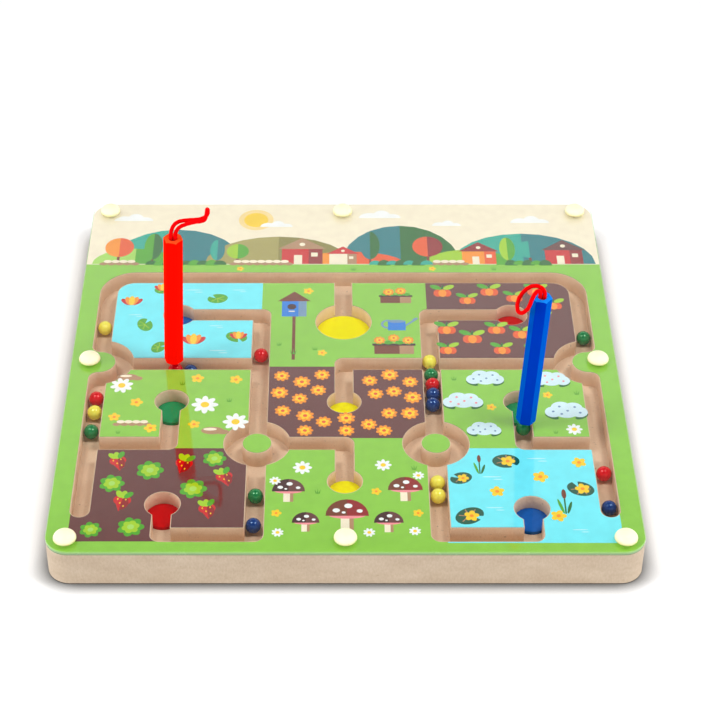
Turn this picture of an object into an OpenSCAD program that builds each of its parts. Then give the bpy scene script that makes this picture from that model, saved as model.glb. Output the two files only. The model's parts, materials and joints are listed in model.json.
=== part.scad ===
// Bead maze game: a square wooden board with channels under a clear cover.
// Coloured steel beads stay in the channels and are drawn along by two magnet wands.
// Millimetres. X runs to the right, Y to the back and Z up from the table.

/* [Board] */
// Side of the square board
board_w = 300; // [292:1:340]
// Radius of the board's corners in plan
corner_r = 12; // [6:0.5:20]
// Thickness of the base board under the channels
base_t = 10; // [6:0.5:16]
// Thickness of the wood that the channels go through
maze_t = 9.7; // [9:0.1:14]
// Thickness of the printed sheet glued on the wood
print_t = 0.3; // [0.2:0.05:0.6]
// Bare wood left between the print and a channel
print_margin = 0.4; // [0.2:0.1:1]
// Thickness of the clear cover
cover_t = 2; // [1.5:0.5:4]

/* [Beads] */
// Diameter of a steel bead
bead_d = 8; // [7.2:0.1:8.8]
// Room on each side of a bead in its channel
bead_play = 0.8; // [0.7:0.1:1.2]
// Gap under a bead, and over one that a wand holds up
bead_gap = 0.2; // [0.1:0.05:0.4]
// Gap between a bead and the wall that it leans towards
wall_gap = 0.3; // [0.2:0.1:0.6]
// Gap between beads that stand in a queue
queue_gap = 0.25; // [0.2:0.05:1]

/* [Maze] */
// Wood between an outer channel and the left or right edge
rail_w = 10.5; // [9:0.1:16]
// Wood between the front channels and the front edge
front_rail_w = 9.7; // [8:0.1:14]
// Depth of the picture strip behind the back channel
back_strip_w = 68.5; // [60:0.5:76]
// Distance of the inner columns from the middle
inner_x = 47.1; // [44:0.1:52]
// Distance of the side pockets from the middle
pocket_x = 94; // [88:0.1:98]
// How far the inner columns and the side pockets lie to the right of an even layout
side_shift = 1; // [0:0.1:2]
// Row of the back side pockets
row_b = 42; // [38:0.5:46]
// Row across the middle
row_c = -1.5; // [-4:0.5:2]
// Row of the two rings
row_d = -67; // [-70:0.5:-62]
// Wood between the front ends of the outer columns and the front edge
outer_end_w = 27.2; // [24:0.1:36]
// Centre-line radius of the back corners
turn_r = 15; // [10:0.5:20]
// Centre-line radius of the two rings
ring_r = 12.65; // [11.5:0.05:16]
// Centre-line radius of the half rings at the sides
side_ring_r = 13.75; // [12.5:0.05:17]
// Radius of a small pocket
pocket_r = 9; // [7.5:0.1:11]
// Radius of the large pocket
big_pocket_r = 15.6; // [13:0.1:18]
// Way from the back channel to the middle of the large pocket
big_reach = 41; // [36:0.1:48]
// Way from the middle row to the yellow pocket in front of it
yellow_mid_reach = 32; // [24:0.1:40]
// Way from the rings' row to the yellow pocket in front of it
yellow_low_reach = 29.2; // [24:0.1:40]
// Way from the rings' row back to the left green pocket
green_left_reach = 34.2; // [28:0.1:40]
// Way from the rings' row back to the right green pocket
green_right_reach = 33.4; // [28:0.1:40]
// Way from the front channel back to the red pocket
red_front_reach = 22.2; // [16:0.1:30]
// Way from the front channel back to the blue pocket
blue_front_reach = 18.9; // [16:0.1:30]
// Thickness of the coloured discs in the pockets
disc_t = 2.3; // [1:0.1:3]
// Depth of the recess in the base board that a disc sits in
disc_seat = 0.5; // [0.3:0.1:2]
// Gap around a disc in its recess
disc_gap = 0.2; // [0.1:0.05:0.4]

/* [Cover pegs] */
// Distance of the pegs from the board's edges
peg_inset = 10; // [8:0.5:14]
// Diameter of a peg's head
peg_head_d = 11.8; // [9:0.1:14]
// Height of a peg's domed head
peg_head_h = 4.1; // [3:0.1:5]
// Height of the straight side under a peg's dome
peg_skirt = 1.2; // [0.4:0.1:1.6]
// Diameter of a peg's hole in the wood
peg_hole_d = 6; // [4:0.1:7]
// How much wider a peg is than its hole in the wood
peg_squeeze = 0.1; // [0.05:0.05:0.2]
// Gap around a peg in the cover and in the print
peg_gap = 0.3; // [0.2:0.1:0.6]

/* [Wands] */
// Length of a wand
wand_l = 82.5; // [60:0.5:120]
// Width of a wand across its flats
wand_flats = 9.2; // [8:0.1:12]
// Diameter that softens the six long edges
wand_d = 10.5; // [9:0.1:13]
// Chamfer at both ends of a wand
wand_chamfer = 0.4; // [0.3:0.1:1.5]
// Turn of a wand about its own axis
wand_turn = -10; // [-30:1:30]
// Lean of a wand to the right
wand_lean = 2.4; // [0:0.1:5]
// Gap between a wand's lowest edge and the cover
wand_gap = 0.2; // [0.1:0.05:0.3]
// Diameter of the magnet's hole in a wand
magnet_hole_d = 6; // [4:0.1:7]
// Length of the magnet
magnet_l = 8; // [4:0.5:15]
// Diameter of the cord's hole in a wand
cord_hole_d = 4.8; // [4.6:0.1:5.4]
// Depth of the cord's hole
cord_hole_l = 9; // [7:0.5:15]
// How much wider a magnet or a plug is than its hole
wand_squeeze = 0.1; // [0.05:0.05:0.2]
// Diameter of the cord
cord_d = 2.2; // [1.8:0.1:2.2]
// Depth below a wand's end at which both cord ends meet the plug
cord_seat = 1; // [0.8:0.2:3]

/* [Hidden] */
$fn = 64;
// Length that a cutter runs past the face that it cuts
past = 1;
floor_z = base_t;
wood_top = base_t + maze_t;
cover_z = wood_top + print_t;
cover_top = cover_z + cover_t;
half_w = board_w / 2;
channel_w = bead_d + 2 * bead_play;
outer_x = half_w - rail_w - channel_w / 2;
row_a = half_w - back_strip_w - channel_w / 2;
row_e = -half_w + front_rail_w + channel_w / 2;
outer_end_y = -half_w + outer_end_w + channel_w / 2;
inner_left = side_shift - inner_x;
inner_right = side_shift + inner_x;
pocket_left = side_shift - pocket_x;
pocket_right = side_shift + pocket_x;
peg_at = half_w - peg_inset;
pegs = [[-1, -1], [0, -1], [1, -1], [-1, 0], [1, 0], [-1, 1], [0, 1], [1, 1]];

red = [0.78, 0.10, 0.15];
yellow = [0.95, 0.80, 0.20];
green = [0.12, 0.45, 0.30];
blue = [0.18, 0.34, 0.66];
wood = [0.81, 0.73, 0.63];

// Middles of the pockets
pocket_big = [0, row_a - big_reach];
pocket_blue_back = [pocket_left, row_b];
pocket_red_back = [pocket_right, row_b];
pocket_green_left = [pocket_left, row_d + green_left_reach];
pocket_green_right = [pocket_right, row_d + green_right_reach];
pocket_yellow_mid = [0, row_c - yellow_mid_reach];
pocket_yellow_low = [0, row_d - yellow_low_reach];
pocket_red_front = [pocket_left, row_e + red_front_reach];
pocket_blue_front = [pocket_right, row_e + blue_front_reach];
small_pockets = [pocket_blue_back, pocket_red_back, pocket_green_left, pocket_green_right,
    pocket_yellow_mid, pocket_yellow_low, pocket_red_front, pocket_blue_front];

// Straight channels, from end to end along their centre lines
runs = [
    [[-outer_x + turn_r, row_a], [outer_x - turn_r, row_a]],
    [[-outer_x, row_a - turn_r], [-outer_x, side_ring_r]],
    [[outer_x, row_a - turn_r], [outer_x, side_ring_r]],
    [[-outer_x, -side_ring_r], [-outer_x, outer_end_y]],
    [[outer_x, -side_ring_r], [outer_x, outer_end_y]],
    [[inner_left, row_b], [inner_left, row_d + ring_r]],
    [[inner_right, row_b], [inner_right, row_d + ring_r]],
    [[inner_left, row_d - ring_r], [inner_left, row_e]],
    [[inner_right, row_d - ring_r], [inner_right, row_e]],
    [[0, row_a], pocket_big],
    [pocket_blue_back, [inner_left, row_b]],
    [pocket_red_back, [inner_right, row_b]],
    [[-outer_x + side_ring_r, row_c], [inner_left, row_c]],
    [[outer_x - side_ring_r, row_c], [inner_right, row_c]],
    [[0, row_c], [inner_right, row_c]],
    [[0, row_c], pocket_yellow_mid],
    [[-outer_x, row_d], [pocket_left, row_d]],
    [[outer_x, row_d], [pocket_right, row_d]],
    [[pocket_left, row_d], pocket_green_left],
    [[pocket_right, row_d], pocket_green_right],
    [[inner_left + ring_r, row_d], [0, row_d]],
    [[0, row_d], pocket_yellow_low],
    [[inner_left, row_e], [pocket_left, row_e]],
    [[inner_right, row_e], [pocket_right, row_e]],
    [[pocket_left, row_e], pocket_red_front],
    [[pocket_right, row_e], pocket_blue_front]
];

// The maze's wood is laid in blocks: name, lower left corner and upper right corner
rails = [
    ["back_rail", [-half_w, row_a], [half_w, half_w]],
    ["left_rail", [-half_w, -half_w], [-outer_x, row_a]],
    ["right_rail", [outer_x, -half_w], [half_w, row_a]],
    ["front_rail", [-outer_x, -half_w], [outer_x, row_e]]
];
fields = [
    ["field_back_left", [-outer_x, row_c], [inner_left, row_a]],
    ["field_back_middle", [inner_left, row_c], [inner_right, row_a]],
    ["field_back_right", [inner_right, row_c], [outer_x, row_a]],
    ["field_middle_left", [-outer_x, row_d], [inner_left, row_c]],
    ["field_middle", [inner_left, row_d], [inner_right, row_c]],
    ["field_middle_right", [inner_right, row_d], [outer_x, row_c]],
    ["field_front_left", [-outer_x, row_e], [inner_left, row_d]],
    ["field_front_middle", [inner_left, row_e], [inner_right, row_d]],
    ["field_front_right", [inner_right, row_e], [outer_x, row_d]]
];

// Beads: name, colour, place of the middle in plan, lean to a side wall, held up by a wand
queue_y = row_c + 8.5;
queue_break = 3.4;
queue_step = bead_d + queue_gap;
// Length of the columns in front of the rings, and the place of a pair of beads in one of them
front_run = row_d - ring_r - row_e;
front_pair_y = row_e + 0.788 * front_run;
front_pair_step = bead_d + 2;
red_bead_at = [pocket_left, row_c];
green_bead_at = [pocket_right, row_d + 16.5];
// The wands stand a little off the beads that they hold
red_wand_shift = [-0.6, 0.8];
blue_wand_shift = [1.4, -0.5];
red_wand_at = red_bead_at + red_wand_shift;
blue_wand_at = green_bead_at + blue_wand_shift;
beads = [
    ["bead_yellow_1", yellow, [-outer_x, 37], -1, false],
    ["bead_red_1", red, [inner_left, row_c + 14.1], 0, false],
    ["bead_red_2", red, [-outer_x, -24.5], 0, false],
    ["bead_yellow_2", yellow, [-outer_x, -36], 0, false],
    ["bead_green_1", green, [-outer_x, -51.5], -1, false],
    ["bead_red_3", red, red_bead_at, 0, true],
    ["bead_blue_1", blue, red_bead_at + [queue_step, 0], 0, false],
    ["bead_yellow_3", yellow, [inner_right, queue_y], -1, false],
    ["bead_green_5", green, [inner_right, queue_y - queue_break - queue_step], 0, false],
    ["bead_red_5", red, [inner_right, queue_y - queue_break - 2 * queue_step], 1, false],
    ["bead_blue_4", blue, [inner_right, queue_y - queue_break - 3 * queue_step], 1, false],
    ["bead_blue_5", blue, [inner_right, queue_y - queue_break - 4 * queue_step], 0, false],
    ["bead_green_2", green, [outer_x, 28], 1, false],
    ["bead_green_3", green, green_bead_at, 1, true],
    ["bead_yellow_4", yellow, [inner_right, front_pair_y], 0, false],
    ["bead_yellow_5", yellow, [inner_right, front_pair_y - front_pair_step], 0, false],
    ["bead_green_4", green, [inner_left, row_e + 0.609 * front_run], 0, false],
    ["bead_blue_2", blue, [inner_left, row_e + 0.22 * front_run], -1, false],
    ["bead_red_4", red, [outer_x, -84.5], 1, false],
    ["bead_blue_3", blue, [outer_x, outer_end_y + 7.6], 1, false]
];

// Cord loops, from the plug and back to it, measured from the middle of a wand's upper end
red_cord_route = [
    [-1.15, 0, -cord_seat], [-1.15, 0, -0.3], [-1.15, 0.2, 2], [-0.8, 0.8, 4.6], [0, 1.4, 6.6],
    [1.4, 2, 8.3], [3.4, 2.6, 9.2], [6, 3, 9.6], [9, 3.5, 9.7], [12, 4, 9.7], [14.7, 4.4, 10.1],
    [16.8, 4.6, 11.5], [17.9, 4.2, 13.8], [18.1, 2.8, 16.6], [17.9, 0.5, 19], [17.8, -2.2, 20.1],
    [17.6, -4.8, 19.2], [16.8, -6.1, 17.2], [14.8, -5.9, 15.9], [12.2, -4.9, 14.7],
    [9.4, -3.8, 13], [6.8, -2.7, 11.2], [4.4, -1.6, 9.2], [2.6, -0.7, 6.8], [1.6, -0.2, 4.4],
    [1.15, 0, 1.8], [1.15, 0, -0.3], [1.15, 0, -cord_seat]
];
blue_cord_route = [
    [1.15, 0, -cord_seat], [1.15, 0, -0.3], [1.15, 0.4, 1.4], [0.3, 1.3, 3.6], [-1.7, 2.2, 4.8],
    [-4.3, 3, 4.6], [-6.8, 3.6, 3], [-9, 4, 0.2], [-10.6, 4.2, -3.2], [-11.5, 3.7, -6.4],
    [-11.7, 1.6, -8.8], [-11.2, -1.1, -9.2], [-9.9, -3.5, -7.9], [-8.2, -5, -5.2],
    [-6.9, -5.5, -2], [-6.1, -5.1, 1.3], [-5, -4.1, 3.8], [-3.7, -2.7, 5.1], [-2.3, -1.3, 4.8],
    [-1.4, -0.35, 3], [-1.15, 0, 1.2], [-1.15, 0, -0.3], [-1.15, 0, -cord_seat]
];
cord_sides = 8;

// Square with rounded corners about the origin
module rounded_square(w, r) {
    square([w, w - 2 * r], center = true);
    square([w - 2 * r, w], center = true);
    for (x = [-1, 1], y = [-1, 1])
        translate([x, y] * (w / 2 - r)) circle(r);
}

// Straight channel between two points, with round ends
module run(from, to, w) {
    way = to - from;
    translate(from) circle(d = w);
    translate(to) circle(d = w);
    translate(from) rotate(atan2(way.y, way.x)) translate([0, -w / 2]) square([norm(way), w]);
}

module ring(r, w) {
    difference() {
        circle(r + w / 2);
        circle(r - w / 2);
    }
}

// Quarter or half of a ring: the part inside a box from corner to corner
module ring_part(r, w, low, high) {
    intersection() {
        ring(r, w);
        translate(low) square(high - low);
    }
}

// All channels and pockets in plan, each wider by grow on every side
module maze(grow = 0) {
    w = channel_w + 2 * grow;
    turn_reach = turn_r + w;
    side_reach = side_ring_r + w;
    for (r = runs) run(r[0], r[1], w);
    for (p = small_pockets) translate(p) circle(pocket_r + grow);
    translate(pocket_big) circle(big_pocket_r + grow);
    for (x = [inner_left, inner_right]) translate([x, row_d]) ring(ring_r, w);
    for (side = [0, 1]) mirror([side, 0]) {
        translate([outer_x - turn_r, row_a - turn_r])
            ring_part(turn_r, w, [0, 0], [turn_reach, turn_reach]);
        translate([outer_x, 0])
            ring_part(side_ring_r, w, [-side_reach, -side_reach], [0, side_reach]);
    }
}

module peg_places() {
    for (p = pegs) translate(p * peg_at) children();
}

// Wood around the middle peg at the front, which belongs to the front rail
module front_peg_zone() {
    translate([0, -peg_at]) circle(peg_hole_d);
}

// Discs around the ring islands and the side and front pegs, which belong to no field
module island_zones() {
    for (x = [inner_left, inner_right]) translate([x, row_d]) circle(ring_r);
    for (x = [-outer_x, outer_x]) translate([x, 0]) circle(side_ring_r);
    front_peg_zone();
}

// Wood outside the turns at the back corners, which belongs to the back rail
module corner_zones() {
    for (side = [0, 1]) mirror([side, 0])
        translate([outer_x - turn_r, row_a - turn_r]) difference() {
            square([turn_r, turn_r + past]);
            circle(turn_r);
        }
}

module box_2d(low, high) {
    translate(low) square(high - low);
}

module base_board() {
    color(wood) difference() {
        linear_extrude(base_t) rounded_square(board_w, corner_r);
        for (p = small_pockets)
            translate([p.x, p.y, floor_z - disc_seat]) cylinder(r = pocket_r, h = disc_seat + past);
        translate([pocket_big.x, pocket_big.y, floor_z - disc_seat])
            cylinder(r = big_pocket_r, h = disc_seat + past);
    }
}

// One block of the outer frame, with the half discs inside the side rings
module rail(b) {
    color(wood) translate([0, 0, floor_z]) linear_extrude(maze_t) difference() {
        intersection() {
            rounded_square(board_w, corner_r);
            union() {
                box_2d(b[1], b[2]);
                if (b[0] == "back_rail") corner_zones();
                if (b[0] == "left_rail") translate([-outer_x, 0]) circle(side_ring_r);
                if (b[0] == "right_rail") translate([outer_x, 0]) circle(side_ring_r);
                if (b[0] == "front_rail") front_peg_zone();
            }
        }
        maze();
        peg_places() circle(d = peg_hole_d);
    }
}

// One block between the channels
module field(b) {
    color(wood) translate([0, 0, floor_z]) linear_extrude(maze_t) difference() {
        box_2d(b[1], b[2]);
        maze();
        island_zones();
        corner_zones();
    }
}

module ring_islands() {
    color(wood) for (x = [inner_left, inner_right])
        translate([x, row_d, floor_z]) cylinder(r = ring_r - channel_w / 2, h = maze_t);
}

module printed_sheet() {
    color([0.58, 0.81, 0.36]) translate([0, 0, wood_top]) linear_extrude(print_t) difference() {
        rounded_square(board_w, corner_r);
        maze(print_margin);
        peg_places() circle(d = peg_hole_d + 2 * peg_gap);
    }
}

module cover() {
    color([0.80, 0.85, 0.88, 0.3]) translate([0, 0, cover_z]) linear_extrude(cover_t) difference() {
        rounded_square(board_w, corner_r);
        peg_places() circle(d = peg_hole_d + 2 * peg_gap);
    }
}

// Domed head on the cover, and a shank that grips the wood
module cover_pegs() {
    dome_h = peg_head_h - peg_skirt;
    dome_r = (pow(peg_head_d / 2, 2) + pow(dome_h, 2)) / (2 * dome_h);
    color([1, 0.98, 0.86]) peg_places() {
        translate([0, 0, cover_top]) intersection() {
            translate([0, 0, peg_head_h - dome_r]) sphere(dome_r);
            cylinder(d = peg_head_d, h = peg_head_h + past);
        }
        translate([0, 0, floor_z]) cylinder(d = peg_hole_d + peg_squeeze, h = cover_top - floor_z);
    }
}

module disc(at, r) {
    translate([at.x, at.y, floor_z - disc_seat]) cylinder(r = r - disc_gap, h = disc_t);
}

module disc_big_yellow() {
    color(yellow) disc(pocket_big, big_pocket_r);
}

module discs_yellow() {
    color(yellow) for (p = [pocket_yellow_mid, pocket_yellow_low]) disc(p, pocket_r);
}

module discs_red() {
    color(red) for (p = [pocket_red_back, pocket_red_front]) disc(p, pocket_r);
}

module discs_blue() {
    color(blue) for (p = [pocket_blue_back, pocket_blue_front]) disc(p, pocket_r);
}

module discs_green() {
    color(green) for (p = [pocket_green_left, pocket_green_right]) disc(p, pocket_r);
}

module bead(b) {
    low = floor_z + bead_gap + bead_d / 2;
    high = cover_z - bead_gap - bead_d / 2;
    side = b[3] * (bead_play - wall_gap);
    color(b[1]) translate([b[2].x + side, b[2].y, b[4] ? high : low]) sphere(d = bead_d);
}

// Stands a wand's pieces on the cover
module on_cover(at) {
    lift = wand_gap + (wand_d / 2 - wand_chamfer) * sin(wand_lean);
    translate([at.x, at.y, cover_top + lift]) rotate([0, wand_lean, 0]) children();
}

// Six-sided rod with softened edges, a magnet's hole below and a cord's hole above
module wand_rod() {
    r = wand_d / 2;
    difference() {
        intersection() {
            rotate(wand_turn) cylinder(d = wand_flats / cos(30), h = wand_l, $fn = 6);
            rotate_extrude() polygon([[0, 0], [r - wand_chamfer, 0], [r, wand_chamfer],
                [r, wand_l - wand_chamfer], [r - wand_chamfer, wand_l], [0, wand_l]]);
        }
        translate([0, 0, -past]) cylinder(d = magnet_hole_d, h = magnet_l + past);
        translate([0, 0, wand_l - cord_hole_l]) cylinder(d = cord_hole_d, h = cord_hole_l + past);
    }
}

module wand_magnet() {
    cylinder(d = magnet_hole_d + wand_squeeze, h = magnet_l);
}

// Fills the cord's hole below the cord's two ends
module wand_plug() {
    translate([0, 0, wand_l - cord_hole_l])
        cylinder(d = cord_hole_d + wand_squeeze, h = cord_hole_l - cord_seat);
}

function unit(v) = v / norm(v);
function heading(p, i) = unit(p[min(i + 1, len(p) - 1)] - p[max(i - 1, 0)]);
// A direction across the route at point i, carried along from its start without twist
function across(p, i) =
    i == 0 ? [0, 1, 0] :
    let (before = across(p, i - 1), ahead = heading(p, i)) unit(before - (before * ahead) * ahead);
function ring_points(p, i) =
    let (ahead = heading(p, i), a = across(p, i), b = cross(ahead, a))
    [for (k = [0 : cord_sides - 1])
        let (turn = 360 * k / cord_sides) p[i] + cord_d / 2 * (cos(turn) * a + sin(turn) * b)];

// One tube along a route
module cord(route) {
    last = len(route) - 1;
    points = [for (i = [0 : last]) each ring_points(route, i)];
    walls = [for (i = [0 : last - 1], k = [0 : cord_sides - 1])
        let (a = i * cord_sides + k, b = i * cord_sides + (k + 1) % cord_sides)
        each [[a, a + cord_sides, b], [b, a + cord_sides, b + cord_sides]]];
    first_end = [for (k = [0 : cord_sides - 1]) k];
    last_end = [for (k = [cord_sides - 1 : -1 : 0]) last * cord_sides + k];
    translate([0, 0, wand_l]) polyhedron(points, concat(walls, [first_end, last_end]));
}

module red_wand() {
    color([1, 0.05, 0]) on_cover(red_wand_at) wand_rod();
}

module red_wand_magnet() {
    color("silver") on_cover(red_wand_at) wand_magnet();
}

module red_wand_plug() {
    color(red) on_cover(red_wand_at) wand_plug();
}

module red_wand_cord() {
    color([0.9, 0, 0]) on_cover(red_wand_at) cord(red_cord_route);
}

module blue_wand() {
    color([0, 0.3, 0.85]) on_cover(blue_wand_at) wand_rod();
}

module blue_wand_magnet() {
    color("silver") on_cover(blue_wand_at) wand_magnet();
}

module blue_wand_plug() {
    color(red) on_cover(blue_wand_at) wand_plug();
}

module blue_wand_cord() {
    color([0.9, 0, 0]) on_cover(blue_wand_at) cord(blue_cord_route);
}

base_board();
for (b = rails) rail(b);
for (b = fields) field(b);
ring_islands();
printed_sheet();
cover();
cover_pegs();
disc_big_yellow();
discs_yellow();
discs_red();
discs_blue();
discs_green();
for (b = beads) bead(b);
red_wand();
red_wand_magnet();
red_wand_plug();
red_wand_cord();
blue_wand();
blue_wand_magnet();
blue_wand_plug();
blue_wand_cord();
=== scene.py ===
import bpy
import json
import math
from mathutils import Matrix, Vector, geometry

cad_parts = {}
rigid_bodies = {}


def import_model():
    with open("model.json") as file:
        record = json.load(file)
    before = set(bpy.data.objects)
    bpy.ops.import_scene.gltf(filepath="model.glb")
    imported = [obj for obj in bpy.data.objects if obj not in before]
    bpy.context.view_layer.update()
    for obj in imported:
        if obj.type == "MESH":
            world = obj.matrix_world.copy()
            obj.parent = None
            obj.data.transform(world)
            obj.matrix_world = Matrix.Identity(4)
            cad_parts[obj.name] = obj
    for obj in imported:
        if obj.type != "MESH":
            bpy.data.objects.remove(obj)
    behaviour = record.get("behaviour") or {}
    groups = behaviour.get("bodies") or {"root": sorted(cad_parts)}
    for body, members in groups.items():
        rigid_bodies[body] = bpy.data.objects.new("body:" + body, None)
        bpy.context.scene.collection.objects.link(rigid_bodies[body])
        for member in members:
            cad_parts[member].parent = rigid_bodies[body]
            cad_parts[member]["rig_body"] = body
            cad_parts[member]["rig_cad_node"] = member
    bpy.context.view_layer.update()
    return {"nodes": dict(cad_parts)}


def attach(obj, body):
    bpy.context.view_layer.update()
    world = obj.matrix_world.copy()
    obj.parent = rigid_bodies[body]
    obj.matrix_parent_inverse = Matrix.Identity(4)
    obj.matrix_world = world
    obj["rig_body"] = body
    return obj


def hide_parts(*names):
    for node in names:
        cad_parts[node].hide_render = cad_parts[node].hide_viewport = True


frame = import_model()
nodes = frame["nodes"]
mm = 0.001
print("frame loaded with", len(nodes), "CAD nodes")

# camera: in front of the board and above it
cameraSetup = {"place": (-8.1, -876.2, 745.5), "tilt": 50.69, "lens": 105.9, "shiftX": 0.0304}
bpy.ops.object.select_all(action="DESELECT")
bpy.ops.object.camera_add(
    location=[v * mm for v in cameraSetup["place"]],
    rotation=(math.radians(cameraSetup["tilt"]), 0, 0))
shot = bpy.context.object
shot.data.lens = cameraSetup["lens"]
shot.data.shift_x = cameraSetup["shiftX"]
bpy.context.scene.camera = shot
print("camera placed")


def takeOnly(*pieces):
    bpy.ops.object.select_all(action="DESELECT")
    for piece in pieces:
        piece.select_set(True)
    bpy.context.view_layer.objects.active = pieces[0]


def joinAll(pieces, name):
    takeOnly(*pieces)
    bpy.ops.object.join()
    joined = bpy.context.object
    joined.name = name
    joined.data.name = name
    return joined


def linear(colour):
    # 0 to 255 as on a screen, to the shader's linear scale
    scaled = [c / 255 for c in colour]
    return [c / 12.92 if c <= 0.04045 else ((c + 0.055) / 1.055) ** 2.4 for c in scaled]


# cords: one loop on each wand, both ends down in the wand's hole
cordSetup = {
    "diameter": 2.2, "lobes": 3, "lobeDepth": 0.07, "lobePoints": 24, "twistPerPoint": 115,
    "tubeSteps": 10, "lineSteps": 9, "weld": 0.001,
    "wandLength": 82.5, "wandLean": 2.4, "wandFoot": 22.4031,
    "red": {
        "at": (-93.6, -0.7),
        "route": [
            (-1.15, 0, -1), (-1.15, 0, -0.3), (-1.15, 0.2, 2), (-0.8, 0.8, 4.6), (0, 1.4, 6.6),
            (1.4, 2, 8.3), (3.4, 2.6, 9.2), (6, 3, 9.6), (9, 3.5, 9.7), (12, 4, 9.7), (14.7, 4.4, 10.1),
            (16.8, 4.6, 11.5), (17.9, 4.2, 13.8), (18.1, 2.8, 16.6), (17.9, 0.5, 19), (17.8, -2.2, 20.1),
            (17.6, -4.8, 19.2), (16.8, -6.1, 17.2), (14.8, -5.9, 15.9), (12.2, -4.9, 14.7),
            (9.4, -3.8, 13), (6.8, -2.7, 11.2), (4.4, -1.6, 9.2), (2.6, -0.7, 6.8), (1.6, -0.2, 4.4),
            (1.15, 0, 1.8), (1.15, 0, -0.3), (1.15, 0, -1)]},
    "blue": {
        "at": (96.4, -51),
        "route": [
            (1.15, 0, -1), (1.15, 0, -0.3), (1.15, 0.4, 1.4), (0.3, 1.3, 3.6), (-1.7, 2.2, 4.8),
            (-4.3, 3, 4.6), (-6.8, 3.6, 3), (-9, 4, 0.2), (-10.6, 4.2, -3.2), (-11.5, 3.7, -6.4),
            (-11.7, 1.6, -8.8), (-11.2, -1.1, -9.2), (-9.9, -3.5, -7.9), (-8.2, -5, -5.2),
            (-6.9, -5.5, -2), (-6.1, -5.1, 1.3), (-5, -4.1, 3.8), (-3.7, -2.7, 5.1), (-2.3, -1.3, 4.8),
            (-1.4, -0.35, 3), (-1.15, 0, 1.2), (-1.15, 0, -0.3), (-1.15, 0, -1)]}}


def cordProfile():
    # round section with shallow lobes, which the twist turns into strands
    radius = cordSetup["diameter"] / 2 * mm
    bpy.ops.curve.primitive_bezier_circle_add(radius=radius)
    profile = bpy.context.object
    profile.data.splines.clear()
    spline = profile.data.splines.new("POLY")
    spline.points.add(cordSetup["lobePoints"] - 1)
    for i, point in enumerate(spline.points):
        angle = 2 * math.pi * i / cordSetup["lobePoints"]
        reach = radius * (1 - cordSetup["lobeDepth"] * (1 + math.cos(cordSetup["lobes"] * angle)) / 2)
        point.co = (reach * math.cos(angle), reach * math.sin(angle), 0, 1)
    spline.use_cyclic_u = True
    return profile


def cordLine(points):
    # places along the middle of the cord
    steps = cordSetup["lineSteps"]
    line = []
    for a, b in zip(points, points[1:]):
        line += geometry.interpolate_bezier(a.co, a.handle_right, b.handle_left, b.co, steps)[:-1]
    line.append(points[-1].co.copy())
    return line


def makeCord(colour, profile):
    setup = cordSetup[colour]
    stand = (
        Matrix.Translation(Vector((*setup["at"], cordSetup["wandFoot"])) * mm)
        @ Matrix.Rotation(math.radians(cordSetup["wandLean"]), 4, "Y")
        @ Matrix.Translation((0, 0, cordSetup["wandLength"] * mm)))
    bpy.ops.curve.primitive_bezier_curve_add()
    cord = bpy.context.object
    cord.name = colour + "Cord"
    cord.data.splines.clear()
    spline = cord.data.splines.new("BEZIER")
    spline.bezier_points.add(len(setup["route"]) - 1)
    for i, (point, place) in enumerate(zip(spline.bezier_points, setup["route"])):
        point.co = stand @ (Vector(place) * mm)
        point.handle_left_type = "AUTO"
        point.handle_right_type = "AUTO"
        point.tilt = math.radians(cordSetup["twistPerPoint"]) * i
    cord.data.dimensions = "3D"
    cord.data.twist_mode = "MINIMUM"
    cord.data.resolution_u = cordSetup["tubeSteps"]
    cord.data.bevel_mode = "OBJECT"
    cord.data.bevel_object = profile
    cord.data.use_fill_caps = True
    bpy.context.view_layer.update()
    line = cordLine(spline.bezier_points)
    takeOnly(cord)
    bpy.ops.object.convert(target="MESH")
    cord = bpy.context.object
    bpy.ops.object.mode_set(mode="EDIT")
    bpy.ops.mesh.select_all(action="SELECT")
    bpy.ops.mesh.remove_doubles(threshold=cordSetup["weld"] * mm)
    bpy.ops.mesh.normals_make_consistent(inside=False)
    bpy.ops.object.mode_set(mode="OBJECT")
    bpy.ops.object.shade_smooth()
    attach(cord, colour + "_wand")
    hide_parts(colour + "_wand_cord")
    return cord


bpy.ops.object.select_all(action="DESELECT")
strandProfile = cordProfile()
cords = [makeCord(colour, strandProfile) for colour in ("red", "blue")]
bpy.data.objects.remove(strandProfile)


# finishes
black = (0, 0, 0)
white = (1, 1, 1)
noiseSpan = (0.3, 0.7)  # where most of a noise lies
glossWander = 0.15


def newFinish(name):
    finish = bpy.data.materials.new(name)
    finish.use_nodes = True
    tree = finish.node_tree
    return finish, tree, tree.nodes["Principled BSDF"]


def objectPlace(tree):
    return tree.nodes.new("ShaderNodeTexCoord").outputs["Object"]


def addNoise(tree, size, detail=3.0, stretch=(1, 1, 1)):
    # noise on object coordinates, with spots of about this size in millimetres
    stretched = tree.nodes.new("ShaderNodeMapping")
    stretched.inputs["Scale"].default_value = stretch
    noise = tree.nodes.new("ShaderNodeTexNoise")
    noise.inputs["Scale"].default_value = 1 / (size * mm)
    noise.inputs["Detail"].default_value = detail
    tree.links.new(objectPlace(tree), stretched.inputs["Vector"])
    tree.links.new(stretched.outputs["Vector"], noise.inputs["Vector"])
    return noise.outputs["Fac"]


def addRamp(tree, source, span, lowColour, highColour):
    ramp = tree.nodes.new("ShaderNodeValToRGB")
    for stop, position, colour in zip(ramp.color_ramp.elements, span, (lowColour, highColour)):
        stop.position = position
        stop.color = (*colour, 1)
    tree.links.new(source, ramp.inputs["Fac"])
    return ramp.outputs["Color"]


def addBump(tree, source, height):
    bump = tree.nodes.new("ShaderNodeBump")
    bump.inputs["Distance"].default_value = height * mm
    tree.links.new(source, bump.inputs["Height"])
    return bump.outputs["Normal"]


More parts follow.
